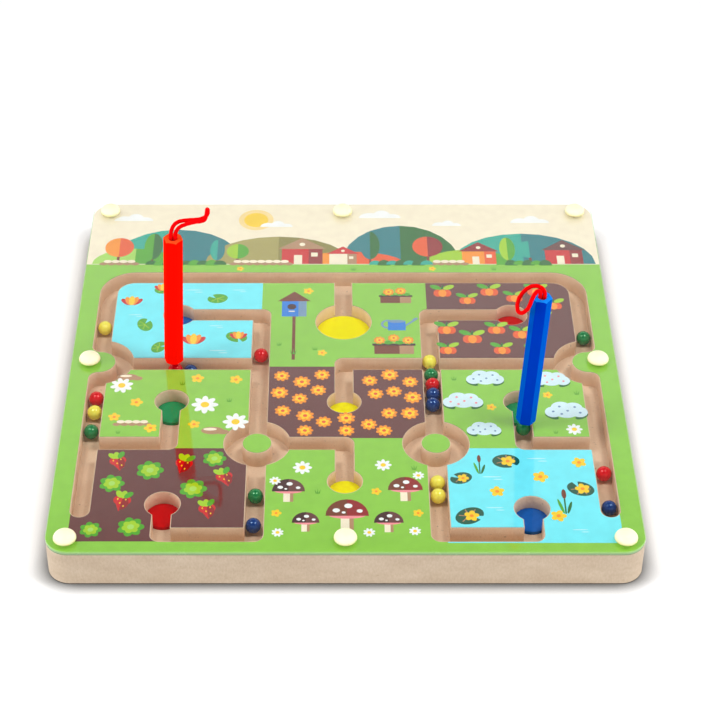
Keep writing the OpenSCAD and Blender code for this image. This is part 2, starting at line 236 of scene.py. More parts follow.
def addSpan(tree, source, fromSpan, toSpan=(0, 1)):
    # from one span of numbers to another, held at both ends
    change = tree.nodes.new("ShaderNodeMapRange")
    for way, span in (("From", fromSpan), ("To", toSpan)):
        for end, value in zip(("Min", "Max"), span):
            change.inputs[way + " " + end].default_value = value
    tree.links.new(source, change.inputs["Value"])
    return change.outputs["Result"]


def addRise(tree, low, high):
    # zero at the lower height, in millimetres, and one at the upper
    place = tree.nodes.new("ShaderNodeSeparateXYZ")
    tree.links.new(objectPlace(tree), place.inputs["Vector"])
    return addSpan(tree, place.outputs["Z"], (low * mm, high * mm))


def addLength(tree, source):
    length = tree.nodes.new("ShaderNodeVectorMath")
    length.operation = "LENGTH"
    tree.links.new(source, length.inputs[0])
    return length.outputs["Value"]


def addMath(tree, way, *values):
    # each value is a number or another node's output
    step = tree.nodes.new("ShaderNodeMath")
    step.operation = way
    for socket, value in zip(step.inputs, values):
        if isinstance(value, (int, float)):
            socket.default_value = value
        else:
            tree.links.new(value, socket)
    return step.outputs["Value"]


def addMix(tree, share, first, second, way="MIX"):
    mix = tree.nodes.new("ShaderNodeMix")
    mix.data_type = "RGBA"
    mix.blend_type = way
    mix.clamp_result = True
    if isinstance(share, float):
        mix.inputs["Factor"].default_value = share
    else:
        tree.links.new(share, mix.inputs["Factor"])
    tree.links.new(first, mix.inputs["A"])
    tree.links.new(second, mix.inputs["B"])
    return mix.outputs["Result"]


def showMix(tree, share, first, second):
    # two shaders mixed on the surface
    mix = tree.nodes.new("ShaderNodeMixShader")
    for socket, source in zip(mix.inputs, (share, first, second)):
        tree.links.new(source, socket)
    tree.links.new(mix.outputs["Shader"], tree.nodes["Material Output"].inputs["Surface"])


def duller(colour, share):
    return [c * (1 - share) for c in colour]


def paint(name, colour, wander, spotSize, roughness, bump=0.0, stretch=(1, 1, 1), **sockets):
    # colour that wanders a little, with a gloss that wanders with it
    finish, tree, shader = newFinish(name)
    noise = addNoise(tree, spotSize, stretch=stretch)
    light = [min(1, c * (1 + wander)) for c in colour]
    roughSpan = (roughness * (1 - glossWander), roughness * (1 + glossWander))
    tone = addRamp(tree, noise, noiseSpan, duller(colour, wander), light)
    tree.links.new(tone, shader.inputs["Base Color"])
    tree.links.new(addSpan(tree, noise, noiseSpan, roughSpan), shader.inputs["Roughness"])
    if bump:
        tree.links.new(addBump(tree, noise, bump), shader.inputs["Normal"])
    for socket, value in sockets.items():
        shader.inputs[socket.replace("_", " ")].default_value = value
    return finish


def dress(name, finish):
    nodes[name].material_slots[0].material = finish


# pressed wood: broad pale and dark drifts, fine fibres and a few dark specks; inside the channels it is
# painted brighter and warmer, as painted bounce light between the walls
woodSetup = {
    "pale": (0.525, 0.417, 0.307), "dark": (0.466, 0.358, 0.254), "speck": (0.36, 0.26, 0.17),
    "bouncePale": (0.82, 0.61, 0.435), "bounceDark": (0.75, 0.535, 0.37),
    "drift": 16, "driftDetail": 4, "driftStretch": (1, 1, 2.5), "driftSpan": (0.32, 0.68),
    "fibre": 0.9, "fibreDetail": 5, "fibreStretch": (1, 1, 0.5), "fibreTones": (0.2, 0.8), "grain": 0.24,
    "speckSize": 1.6, "speckDetail": 2, "speckEdge": (0.24, 0.32), "speckSpan": (0.1, 0.32),
    "roughness": (0.55, 0.72), "bump": 0.02, "cornerMiddle": 138, "skinFrom": 11.7}


def addSkinMask(tree):
    # one on the board's outer sides, rounded corners among them, and zero further in
    reach = woodSetup["cornerMiddle"] * mm
    tall = 1  # above the board's height in metres, so that height counts for nothing
    source = objectPlace(tree)
    for way, amount in (("ABSOLUTE", None), ("SUBTRACT", (reach, reach, tall)), ("MAXIMUM", (0, 0, 0))):
        step = tree.nodes.new("ShaderNodeVectorMath")
        step.operation = way
        tree.links.new(source, step.inputs[0])
        if amount:
            step.inputs[1].default_value = amount
        source = step.outputs["Vector"]
    return addMath(tree, "GREATER_THAN", addLength(tree, source), woodSetup["skinFrom"] * mm)


def woodFinish():
    finish, tree, shader = newFinish("boardWood")
    drifts = addNoise(tree, woodSetup["drift"], woodSetup["driftDetail"], woodSetup["driftStretch"])
    skin = addRamp(tree, drifts, woodSetup["driftSpan"], woodSetup["dark"], woodSetup["pale"])
    # channel wood: brighter and warmer, painted light standing in for light bounced between the channel walls
    bounceLit = addRamp(tree, drifts, woodSetup["driftSpan"], woodSetup["bounceDark"], woodSetup["bouncePale"])
    bare = addMix(tree, addSkinMask(tree), bounceLit, skin)
    fibres = addNoise(tree, woodSetup["fibre"], woodSetup["fibreDetail"], woodSetup["fibreStretch"])
    fibreTone = addRamp(tree, fibres, noiseSpan, *([tone] * 3 for tone in woodSetup["fibreTones"]))
    grain = addMix(tree, woodSetup["grain"], bare, fibreTone, "SOFT_LIGHT")
    specks = addNoise(tree, woodSetup["speckSize"], woodSetup["speckDetail"])
    speckShare = addRamp(tree, specks, woodSetup["speckEdge"], white, black)
    speckTone = addRamp(tree, specks, woodSetup["speckSpan"], woodSetup["speck"], woodSetup["dark"])
    tree.links.new(addMix(tree, speckShare, grain, speckTone), shader.inputs["Base Color"])
    tree.links.new(addSpan(tree, fibres, noiseSpan, woodSetup["roughness"]), shader.inputs["Roughness"])
    tree.links.new(addBump(tree, fibres, woodSetup["bump"]), shader.inputs["Normal"])
    return finish


boardWood = woodFinish()
woodNodes = [name for name in nodes
             if name in ("base_board", "ring_islands") or name.endswith("_rail") or name.startswith("field_")]
for name in woodNodes:
    dress(name, boardWood)
print("wood on", len(woodNodes), "nodes")

# beads: lacquered steel, whose gloss takes on some of the bead's own colour
beadSetup = {
    "wander": 0.08, "spot": 1.5, "roughness": 0.2, "gloss": 0.95,
    "colours": {"red": (224, 4, 24), "yellow": (255, 242, 88), "green": (18, 128, 69), "blue": (8, 53, 126)},
    "glossTints": {"red": (1, 0.42, 0.4, 1), "yellow": (1, 0.95, 0.65, 1), "green": (0.6, 1, 0.62, 1),
                   "blue": (0.48, 0.72, 1, 1)}}
beadFinish = {
    key: paint(key + "Bead", linear(colour), beadSetup["wander"], beadSetup["spot"], beadSetup["roughness"],
               Specular_IOR_Level=beadSetup["gloss"], Specular_Tint=beadSetup["glossTints"][key])
    for key, colour in beadSetup["colours"].items()}

# colour discs: matt paint at the bottom of the pockets
discSetup = {
    "wander": 0.07, "spot": 3, "roughness": 0.6, "bump": 0.01, "gloss": 0.05,
    "colours": {"red": (202, 0, 2), "yellow": (255, 243, 22), "green": (36, 150, 92), "blue": (30, 96, 182)}}
discFinish = {
    key: paint(key + "Disc", linear(colour), discSetup["wander"], discSetup["spot"], discSetup["roughness"],
               discSetup["bump"], Specular_IOR_Level=discSetup["gloss"])
    for key, colour in discSetup["colours"].items()}

# wands: lacquered sides with a soft sheen, and ends painted paler as a painted highlight of the light from
# above
wandSetup = {
    "wander": 0.04, "spot": 5, "stretch": (1, 1, 0.15), "roughness": 0.35, "bump": 0.015,
    "sheenRoughness": 0.6, "glintSpan": (0.4, 0.6), "glintWander": 0.06, "glintSpot": 2,
    # end: paler colour for the upward faces, a painted highlight of the light from above
    "red": {"side": (255, 6, 0), "end": (255, 82, 32), "sheen": (1, 0.1, 0.02, 1), "sheenWeight": 0.1},
    "blue": {"side": (0, 8, 170), "end": (24, 128, 244), "sheen": (0, 0.42, 1, 1), "sheenWeight": 0.72}}


def wandLacquer(colour):
    setup = wandSetup[colour]
    finish = paint(colour + "Lacquer", linear(setup["side"]), wandSetup["wander"], wandSetup["spot"],
                   wandSetup["roughness"], wandSetup["bump"], wandSetup["stretch"], Specular_IOR_Level=0.0,
                   Sheen_Weight=setup["sheenWeight"], Sheen_Roughness=wandSetup["sheenRoughness"],
                   Sheen_Tint=setup["sheen"])
    tree = finish.node_tree
    base = tree.nodes["Principled BSDF"].inputs["Base Color"]
    # the upward faces, the top end and its chamfer, take the end colour as a painted highlight
    facing = tree.nodes.new("ShaderNodeSeparateXYZ")
    tree.links.new(tree.nodes.new("ShaderNodeTexCoord").outputs["Normal"], facing.inputs["Vector"])
    glintMask = addRamp(tree, facing.outputs["Z"], wandSetup["glintSpan"], black, white)
    pale = linear(setup["end"])
    glintNoise = addNoise(tree, wandSetup["glintSpot"])
    end = addRamp(tree, glintNoise, noiseSpan, duller(pale, wandSetup["glintWander"]), pale)
    tree.links.new(addMix(tree, glintMask, base.links[0].from_socket, end), base)
    return finish


magnetSteel = paint("magnetSteel", (0.55, 0.55, 0.56), wander=0.1, spotSize=0.6, roughness=0.32, bump=0.004,
                    stretch=(1, 1, 0.2), Metallic=1.0)
plugWood = paint("plugWood", linear((190, 22, 18)), wander=0.15, spotSize=1.2, roughness=0.6, bump=0.02)
cordRed = paint("cordRed", linear((230, 4, 8)), wander=0.14, spotSize=0.35, roughness=0.7, bump=0.02,
                Specular_IOR_Level=0.0, Sheen_Weight=0.1, Sheen_Tint=(1, 0.1, 0.1, 1))

for name in nodes:
    if name.startswith("bead_"):
        dress(name, beadFinish[name.split("_")[1]])
    elif name.startswith("disc"):
        dress(name, discFinish[name.split("_")[-1]])
    elif name.endswith("_magnet"):
        dress(name, magnetSteel)
    elif name.endswith("_plug"):
        dress(name, plugWood)
    elif name.endswith("_wand"):
        dress(name, wandLacquer(name.split("_")[0]))
for cord in cords:
    cord.data.materials.clear()
    cord.data.materials.append(cordRed)
print("finishes on beads, discs, wands and cords")

# pegs: round heads on the cover, with a shank down in the wood
pegSetup = {
    "radius": 5.9, "height": 4.1, "foot": 22, "at": 140, "sides": 40, "rings": 20,
    "shankRadius": 3, "shankLow": 12, "shankSides": 32, "shankBevel": 0.3, "bevelSteps": 2,
    # low: painted shade colour for the lower part of the head
    "top": (254, 248, 208), "low": (226, 218, 150), "shadeHeight": 1.8, "wander": 0.02, "shadeWander": 0.04,
    "spot": 2.5, "roughness": 0.42, "bump": 0.01, "softness": 0.15, "softReach": 2, "shadowLoss": 0.65}


def pegFinish():
    # painted shade: yellower and darker low down, standing in for shade and the print's green light on the
    # lower head; its own shadow is weak, as light passes through
    finish = paint("pegPlastic", linear(pegSetup["top"]), pegSetup["wander"], pegSetup["spot"],
                   pegSetup["roughness"], pegSetup["bump"], Subsurface_Weight=pegSetup["softness"],
                   Subsurface_Scale=pegSetup["softReach"] * mm)
    tree = finish.node_tree
    shader = tree.nodes["Principled BSDF"]
    base = shader.inputs["Base Color"]
    low = linear(pegSetup["low"])
    paintedShadeNoise = addNoise(tree, pegSetup["spot"])
    paintedShadeTone = addRamp(tree, paintedShadeNoise, noiseSpan, duller(low, pegSetup["shadeWander"]), low)
    rise = addRise(tree, pegSetup["foot"], pegSetup["foot"] + pegSetup["shadeHeight"])
    tree.links.new(addMix(tree, rise, paintedShadeTone, base.links[0].from_socket), base)
    path = tree.nodes.new("ShaderNodeLightPath")
    passing = addMath(tree, "MULTIPLY", path.outputs["Is Shadow Ray"], pegSetup["shadowLoss"])
    clear = tree.nodes.new("ShaderNodeBsdfTransparent")
    showMix(tree, passing, shader.outputs["BSDF"], clear.outputs["BSDF"])
    return finish


def makePeg():
    bpy.ops.object.select_all(action="DESELECT")
    bpy.ops.mesh.primitive_uv_sphere_add(
        segments=pegSetup["sides"], ring_count=pegSetup["rings"], radius=pegSetup["radius"] * mm)
    head = bpy.context.object
    bpy.ops.object.mode_set(mode="EDIT")
    bpy.ops.mesh.select_all(action="SELECT")
    bpy.ops.mesh.bisect(plane_co=(0, 0, 0), plane_no=(0, 0, -1), use_fill=True, clear_outer=True)
    bpy.ops.mesh.select_all(action="SELECT")
    bpy.ops.transform.resize(value=(1, 1, pegSetup["height"] / pegSetup["radius"]), center_override=(0, 0, 0))
    bpy.ops.transform.translate(value=(0, 0, pegSetup["foot"] * mm))
    bpy.ops.object.mode_set(mode="OBJECT")
    bpy.ops.object.shade_smooth()
    bpy.ops.object.select_all(action="DESELECT")
    bpy.ops.mesh.primitive_cylinder_add(
        vertices=pegSetup["shankSides"], radius=pegSetup["shankRadius"] * mm,
        depth=(pegSetup["foot"] - pegSetup["shankLow"]) * mm)
    shank = bpy.context.object
    bpy.ops.object.mode_set(mode="EDIT")
    bpy.ops.mesh.select_all(action="SELECT")
    bpy.ops.transform.translate(value=(0, 0, (pegSetup["foot"] + pegSetup["shankLow"]) / 2 * mm))
    bpy.ops.mesh.bevel(offset=pegSetup["shankBevel"] * mm, segments=pegSetup["bevelSteps"])
    bpy.ops.object.mode_set(mode="OBJECT")
    return joinAll([head, shank], "peg")


firstPeg = makePeg()
pegs = []
pegReach = pegSetup["at"] * mm
for column in (-1, 0, 1):
    for row in (-1, 0, 1):
        if column or row:
            peg = firstPeg.copy()
            peg.data = firstPeg.data.copy()
            bpy.context.scene.collection.objects.link(peg)
            peg.data.transform(Matrix.Translation((column * pegReach, row * pegReach, 0)))
            pegs.append(peg)
bpy.data.objects.remove(firstPeg)
coverPegs = joinAll(pegs, "coverPegs")
coverPegs.data.materials.clear()
coverPegs.data.materials.append(pegFinish())
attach(coverPegs, "board")
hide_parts("cover_pegs")
print("pegs have", len(coverPegs.data.polygons), "faces")


# sheets: copies of the flat CAD nodes, with their loose triangles joined
sheetWeld = 0.002


def sheetCopy(name, source):
    copy = source.copy()
    copy.data = source.data.copy()
    copy.name = name
    copy.parent = None
    for key in ("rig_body", "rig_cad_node"):  # the copy is a piece of its own
        del copy[key]
    bpy.context.scene.collection.objects.link(copy)
    copy.data.materials.clear()
    takeOnly(copy)
    bpy.ops.object.mode_set(mode="EDIT")
    bpy.ops.mesh.select_all(action="SELECT")
    bpy.ops.mesh.customdata_custom_splitnormals_clear()
    bpy.ops.mesh.remove_doubles(threshold=sheetWeld * mm)
    bpy.ops.object.mode_set(mode="OBJECT")
    return copy


# inks: the cover takes some light away and their own gloss adds some, so they are mixed lighter and deeper
inkSetup = {"coverPass": 0.95, "glossAdds": 0.055, "darkest": 0.008, "brightest": 0.98,
            "wander": 0.04, "spot": 6, "roughness": 0.06, "glossIor": 1.9}
inkColours = {
    "grass": (151, 207, 92), "grassDark": (104, 168, 62), "grassLight": (176, 222, 112),
    "soil": (120, 86, 84), "soilDark": (92, 66, 66), "pond": (130, 239, 250), "pondLight": (186, 246, 255),
    "sky": (255, 242, 216), "cloud": (255, 255, 252), "halo": (255, 226, 160),
    "leaf": (100, 176, 62), "leafDark": (52, 122, 74), "leafLight": (172, 212, 70), "pad": (70, 108, 92),
    "yellow": (255, 214, 66), "orange": (255, 160, 62), "orangeDeep": (238, 108, 46),
    "red": (212, 52, 56), "redDark": (158, 40, 50), "pink": (248, 156, 162),
    "brown": (132, 84, 66), "brownLight": (186, 148, 116), "cream": (250, 238, 212), "white": (248, 252, 250),
    "paleBlue": (220, 244, 250), "blue": (66, 138, 222), "blueGrey": (130, 160, 190),
    "teal": (44, 136, 142), "tealLight": (70, 178, 158), "olive": (178, 168, 108),
    "oliveDark": (152, 144, 90)}


def mixInk(name, colour):
    deep = [max(inkSetup["darkest"], c - inkSetup["glossAdds"]) for c in linear(colour)]
    gain = min(1 / inkSetup["coverPass"], inkSetup["brightest"] / max(deep))
    return paint(name + "Ink", [c * gain for c in deep], inkSetup["wander"], inkSetup["spot"],
                 inkSetup["roughness"], IOR=inkSetup["glossIor"])


inks = {name: mixInk(name, colour) for name, colour in inkColours.items()}

# printed sheet: a ground with one field of colour after another, cut out like the maze
groundSetup = {
    "bottom": 19.7, "grassTop": 19.88, "fieldBottom": 19.71, "fieldTop": 19.895, "middle": 19.85,
    # edge: dark colour for the sheet's cut sides, a painted shadow line between cover and wood
    "edge": (104, 92, 80), "flatFrom": 0.5,
    "islands": [(-46.1, -67), (48.1, -67), (-134.7, 0), (134.7, 0)], "islandReach": 9.6,
    "fields": [
        {"name": "skyField", "ink": "sky", "low": (-151, 89.5), "high": (151, 151)},
        {"name": "pondBack", "ink": "pond", "low": (-129.6, 1.2), "high": (-46.4, 72.2)},
        {"name": "soilBack", "ink": "soil", "low": (47.4, 1.2), "high": (129.6, 72.2)},
        {"name": "soilMiddle", "ink": "soil", "low": (-42.4, -63), "high": (45, -4)},
        {"name": "soilFront", "ink": "soil", "low": (-139.2, -140.4), "high": (-47, -71)},
        {"name": "pondFront", "ink": "pond", "low": (51.2, -141.4), "high": (139, -71)}]}


def setHeights(piece, bottom, top):
    for vertex in piece.data.vertices:
        vertex.co.z = (top if vertex.co.z > groundSetup["middle"] * mm else bottom) * mm


def dropNear(piece, middle, reach):
    # what is cut from an island inside a ring stays grass
    bpy.ops.object.mode_set(mode="EDIT")
    bpy.ops.mesh.select_all(action="DESELECT")
    bpy.ops.object.mode_set(mode="OBJECT")
    for vertex in piece.data.vertices:
        vertex.select = (vertex.co.xy - middle).length < reach
    bpy.ops.object.mode_set(mode="EDIT")
    bpy.ops.mesh.delete(type="VERT")
    bpy.ops.object.mode_set(mode="OBJECT")


def cutField(field):
    piece = sheetCopy(field["name"], nodes["printed_sheet"])
    cuts = [((field["low"][0], 0, 0), (-1, 0, 0)), ((field["high"][0], 0, 0), (1, 0, 0)),
            ((0, field["low"][1], 0), (0, -1, 0)), ((0, field["high"][1], 0), (0, 1, 0))]
    bpy.ops.object.mode_set(mode="EDIT")
    for place, normal in cuts:
        bpy.ops.mesh.select_all(action="SELECT")
        bpy.ops.mesh.bisect(
            plane_co=[v * mm for v in place], plane_no=normal, use_fill=True, clear_outer=True)
    bpy.ops.object.mode_set(mode="OBJECT")
    for island in groundSetup["islands"]:
        dropNear(piece, Vector(island) * mm, groundSetup["islandReach"] * mm)
    setHeights(piece, groundSetup["fieldBottom"], groundSetup["fieldTop"])
    piece.data.materials.append(inks[field["ink"]])
    return piece


grassSheet = sheetCopy("printGround", nodes["printed_sheet"])
setHeights(grassSheet, groundSetup["bottom"], groundSetup["grassTop"])
grassSheet.data.materials.append(inks["grass"])
# side faces of the sheet get the dark edge colour, a painted shadow line
grassSheet.data.materials.append(
    paint("printEdgeShade", linear(groundSetup["edge"]), wander=0.1, spotSize=3, roughness=0.7))
for face in grassSheet.data.polygons:
    face.material_index = 0 if abs(face.normal.z) > groundSetup["flatFrom"] else 1
fieldPieces = [cutField(field) for field in groundSetup["fields"]]
printGround = joinAll([grassSheet] + fieldPieces, "printGround")
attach(printGround, "board")
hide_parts("printed_sheet")
print("printed ground has", len(printGround.data.polygons), "faces")

# unit shapes that the pictures are made of, one unit across in both directions
shapeSetup = {
    "sides": {"disc": 24, "wedge": 3, "dome": 24, "half": 24, "slope": 24},
    "cuts": {"dome": [(0, -1, 0)], "half": [(-1, 0, 0)], "slope": [(0, -1, 0), (-1, 0, 0)]}}


def unitShape(kind):
    bpy.ops.object.select_all(action="DESELECT")
    if kind == "bar":
        bpy.ops.mesh.primitive_cube_add(size=1)
    else:
        bpy.ops.mesh.primitive_cylinder_add(vertices=shapeSetup["sides"][kind], radius=0.5, depth=1)
    shape = bpy.context.object
    shape.name = "unit" + kind.capitalize()
    bpy.ops.object.mode_set(mode="EDIT")
    for normal in shapeSetup["cuts"].get(kind, []):
        bpy.ops.mesh.select_all(action="SELECT")
        bpy.ops.mesh.bisect(plane_co=(0, 0, 0), plane_no=normal, use_fill=True, clear_outer=True)
    bpy.ops.object.mode_set(mode="OBJECT")
    low = [min(v.co[i] for v in shape.data.vertices) for i in range(2)]
    high = [max(v.co[i] for v in shape.data.vertices) for i in range(2)]
    middle = Matrix.Translation((-(low[0] + high[0]) / 2, -(low[1] + high[1]) / 2, 0))
    shape.data.transform(Matrix.Diagonal((1 / (high[0] - low[0]), 1 / (high[1] - low[1]), 1, 1)) @ middle)
    return shape


unitShapes = {kind: unitShape(kind) for kind in ("disc", "bar", "wedge", "dome", "half", "slope")}
layerSetup = {"root": 19.87, "first": 19.9, "step": 0.0035}


def flatPlace(x, y, turn, width, height):
    move = Matrix.Translation((x * mm, y * mm, 0))
    return move @ Matrix.Rotation(math.radians(turn), 4, "Z") @ Matrix.Diagonal((width, height, 1, 1))


def layInk(part, place, level):
    # part: shape, width, height, x, y, turn and ink, in millimetres and degrees
    kind, width, height, x, y, turn, ink = part
    top = layerSetup["first"] + layerSetup["step"] * level
    shape = unitShapes[kind].copy()
    shape.data = unitShapes[kind].data.copy()
    bpy.context.scene.collection.objects.link(shape)
    lift = Matrix.Translation((0, 0, (top + layerSetup["root"]) / 2 * mm))
    squeeze = Matrix.Diagonal((1, 1, (top - layerSetup["root"]) * mm, 1))
    shape.data.transform(lift @ place @ flatPlace(x, y, turn, width * mm, height * mm) @ squeeze)
    shape.data.materials.append(inks[ink])
    return shape


def layPicture(name, motifs):
    # motifs: parts, x, y, scale, turn and first level
    shapes = []
    for parts, x, y, scale, turn, level in motifs:
        place = flatPlace(x, y, turn, scale, scale)
        shapes += [layInk(part, place, level + i) for i, part in enumerate(parts)]
    picture = joinAll(shapes, name)
    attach(picture, "board")
    print(name, "has", len(shapes), "shapes of ink")


def around(count, radius, width, height, ink, start=0):
    # petals around a middle
    petals = []
    for i in range(count):
        angle = start + 360 * i / count
        x = radius * math.cos(math.radians(angle))
        y = radius * math.sin(math.radians(angle))
        petals.append(("disc", width, height, x, y, angle - 90, ink))
    return petals


# motifs: lists of the parts that layInk takes
daisy = around(8, 3.6, 2.9, 5.4, "white") + [("disc", 4, 4, 0, 0, 0, "yellow")]
buttercup = around(5, 1.5, 2.1, 2.6, "yellow") + [("disc", 1.5, 1.5, 0, 0, 0, "orange")]
marigold = (around(9, 2.7, 2.3, 3.6, "orange") + around(6, 1.5, 1.9, 2.6, "yellow", 20)
            + [("disc", 2.1, 2.1, 0, 0, 0, "orangeDeep")])
lotus = [("disc", 3.4, 7.4, -3.4, 0.9, 42, "red"), ("disc", 3.4, 7.4, 3.4, 0.9, -42, "red"),
         ("disc", 3.4, 8, -1.8, 1.7, 20, "orange"), ("disc", 3.4, 8, 1.8, 1.7, -20, "orange"),
         ("disc", 3.4, 8.4, 0, 2.1, 0, "yellow")]
ripple = [("disc", 10, 0.9, 0, 0, 0, "pondLight"), ("disc", 5, 0.8, 3, -2, 0, "pondLight")]
tuft = [("wedge", 0.8, 3.4, -1.1, 0, 16, "grassDark"), ("wedge", 0.8, 4.2, 0, 0.3, 0, "grassDark"),
        ("wedge", 0.8, 3.4, 1.1, 0, -16, "grassDark")]
stone = [("disc", 11, 5.4, 0, 0, 0, "brownLight"), ("disc", 6, 3.4, 5, -1, 0, "brownLight"),
         ("disc", 6.5, 2, -1.2, 1, 0, "cream")]
pumpkin = [("bar", 0.9, 4, 0, 4.6, -12, "leafDark"), ("disc", 3.4, 6.4, -3.4, 5, 62, "leaf"),
           ("disc", 3.4, 6.4, 3.4, 5, -62, "leafLight"), ("disc", 4.6, 6, -2.4, 0, 0, "orangeDeep"),
           ("disc", 4.6, 6, 2.4, 0, 0, "orangeDeep"), ("disc", 4.2, 6.4, 0, 0, 0, "orange")]
berry = ([("disc", 8.4, 7, 0, 1.4, 0, "red"), ("wedge", 7.6, 7.6, 0, -2.4, 180, "red"),
          ("half", 3.4, 9, 1.7, -0.6, 0, "redDark")]
         + [("disc", 3, 5.2, 2.2 * i, 5.2, -34 * i, "leafLight" if i < 1 else "leaf") for i in (-1, 0, 1)]
         + [("disc", 0.7, 1.1, x, y, 0, "yellow")
            for x, y in ((-2.2, 1.8), (-0.6, -0.6), (1.6, 2), (1.4, -2.4))])
cabbage = (around(7, 3.6, 4.2, 5.4, "leaf") + around(6, 2.2, 3.4, 4, "leafLight", 15)
           + [("disc", 3.2, 3.2, 0, 0, 0, "grassLight")])
cattail = [("bar", 0.8, 13, 0, -2, 0, "leafDark"), ("disc", 1.6, 11, -2.2, -3, 14, "leaf"),
           ("disc", 1.6, 9, 2.2, -4, -16, "leafDark"), ("disc", 2.4, 7, 0, 6, 0, "brown")]
birdhouse = [("bar", 1.8, 44, 0, -12, 0, "brown"), ("bar", 14, 15, 0, 12, 0, "blue"),
             ("bar", 4.6, 15, 4.7, 12, 0, "blueGrey"), ("wedge", 19, 9, 0, 23, 0, "brown"),
             ("disc", 5, 5, -1.4, 13.4, 0, "soilDark"), ("bar", 3.4, 0.9, -1.4, 9.2, 0, "cream")]
planter = ([("bar", 22, 8, 0, 0, 0, "brown"), ("bar", 8, 8, 7, 0, 0, "brownLight"),
            ("bar", 24, 1.8, 0, 4.2, 0, "soilDark")]
           + [("disc", 4.6, 3.4, x, 6, 0, "leaf") for x in (-8, -3, 3, 8)])
wateringCan = [("bar", 1.4, 11, 8, 2.6, -46, "blueGrey"), ("disc", 4, 2.2, 11.6, 6.6, 40, "blueGrey"),
               ("disc", 9, 9, -5.4, 1.6, 0, "blueGrey"), ("disc", 6, 6, -5.4, 1.6, 0, "grass"),
               ("bar", 11, 9, 0, 0, 0, "blue"), ("disc", 11, 3, 0, 4.5, 0, "blueGrey")]


def toadstool(cap, shade):
    return ([("bar", 6, 9, 0, -4.6, 0, "cream"), ("bar", 2, 9, 2, -4.6, 0, "brownLight"),
             ("disc", 17, 4.6, 0, 0.4, 0, "pink"), ("dome", 20, 11, 0, 5.5, 0, cap),
             ("slope", 10, 11, 5, 5.5, 0, shade)]
            + [("disc", w, w * 0.8, x, y, 0, "white") for w, x, y in
               ((3.4, -5, 3.6), (3.8, 0.6, 6.6), (2.8, 5.8, 3.2), (1.8, -1.6, 2.2))])


def blossomBush(dots):
    return ([("disc", 4, 8, -8, -4.4, 58, "leafDark"), ("disc", 4, 8, 8, -4.4, -58, "leafDark")]
            + [("disc", w, h, x, y, 0, "paleBlue") for w, h, x, y in
               ((9, 8.6, -7, -1), (9, 8.6, 7, -1), (11, 10, -2.6, 2.4), (10, 9, 4, 2.2), (12, 8, 0, -1.8))]
            + [("disc", 1.5, 1.5, x, y, 0, dots) for x, y in
               ((-7, -0.6), (-3.4, 3.4), (0.8, 0), (4.8, 3), (7.4, -1.6), (-2.6, -2.6))])


def lilyPad(leaf, vein):
    return ([("disc", 13, 9.4, 0, 0, 0, leaf), ("wedge", 4, 6.4, 3.2, -3, 40, "pond")]
            + [("bar", 0.5, 4.6, 2.4 * math.cos(a), 1.9 * math.sin(a), math.degrees(a) - 90, vein)
               for a in (0.5, 1.5, 2.5, 3.5)])


def hill(width, height, light, dark):
    return [("dome", width, height, 0, height / 2, 0, light),
            ("slope", width / 2, height, width / 4, height / 2, 0, dark)]


def roundTree(width, light, dark):
    return [("bar", 1.6, width * 0.7, 0, width * 0.35, 0, "brown"),
            ("disc", width, width * 1.1, 0, width * 0.95, 0, light),
            ("half", width / 2, width * 1.1, width / 4, width * 0.95, 0, dark)]


def poplar(height, light, dark):
    return [("bar", 1.2, height * 0.3, 0, height * 0.15, 0, "brown"),
            ("disc", height * 0.36, height * 0.86, 0, height * 0.57, 0, light),
            ("half", height * 0.18, height * 0.86, height * 0.09, height * 0.57, 0, dark)]


def cottage(width, wall, wallDark, roof):
    return [("bar", width, width * 0.62, 0, width * 0.31, 0, wall),
            ("bar", width * 0.34, width * 0.62, width * 0.33, width * 0.31, 0, wallDark),
            ("wedge", width * 1.2, width * 0.46, 0, width * 0.84, 0, roof),
            ("bar", width * 0.2, width * 0.36, -width * 0.1, width * 0.18, 0, "cream"),
            ("bar", width * 0.16, width * 0.16, width * 0.3, width * 0.38, 0, "cream"),
            ("disc", width * 0.14, width * 0.14, 0, width * 0.8, 0, "cream")]


def cloud(width):
    return [("dome", width * 0.5, width * 0.2, -width * 0.22, width * 0.1, 0, "cloud"),
            ("dome", width * 0.46, width * 0.3, width * 0.06, width * 0.15, 0, "cloud"),
            ("dome", width * 0.4, width * 0.16, width * 0.3, width * 0.08, 0, "cloud")]


def stoneWall(count, gap=4.6):
    wall = []
    for row, ink in enumerate(("brownLight", "cream")):
        for i in range(count - row):
            x = (i - (count - row - 1) / 2) * gap
            wall.append(("disc", gap * 1.04, gap * 0.62, x, row * gap * 0.5, 0, ink))
    return wall


def hedge(count, light, dark, gap=5):
    row = []
    for i in range(count):
        x = (i - (count - 1) / 2) * gap
        height, ink = (1.05, dark) if i % 2 else (0.8, light)
        row.append(("dome", gap * 1.5, gap * height, x, gap * 0.45, 0, ink))
    return row


